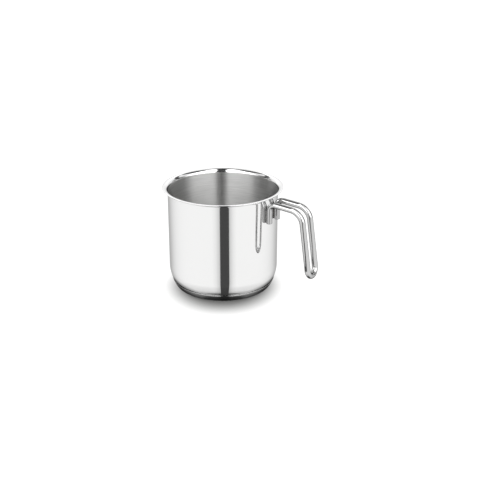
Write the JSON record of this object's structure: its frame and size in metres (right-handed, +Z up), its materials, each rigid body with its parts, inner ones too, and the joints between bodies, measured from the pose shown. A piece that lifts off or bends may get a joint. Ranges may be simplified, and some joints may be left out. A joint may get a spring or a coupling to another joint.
{
  "type": "milk pan",
  "caption": "Tall round steel milk pan with a flared pouring rim, a thick capped base and a drop-shaped hairpin rod handle.",
  "frame": {"origin": "centre of the base's underside, on the surface the pan stands on", "axes": "+Z up along the vessel's axis, +X from the axis towards the handle"},
  "size_m": [0.2113, 0.1546, 0.133],
  "materials": {
    "vessel_steel": "polished",
    "cap_steel": "satin",
    "core_aluminium": "matte",
    "braze_metal": "matte",
    "rod_steel": "polished",
    "weld_steel": "satin"
  },
  "bodies": {
    "root": {"pan_body": "vessel_steel", "base_cap": "cap_steel", "base_core": "core_aluminium", "upper_braze": "braze_metal", "lower_braze": "braze_metal", "handle_rod": "rod_steel", "left_weld": "weld_steel", "right_weld": "weld_steel"}
  },
  "joints": []
}
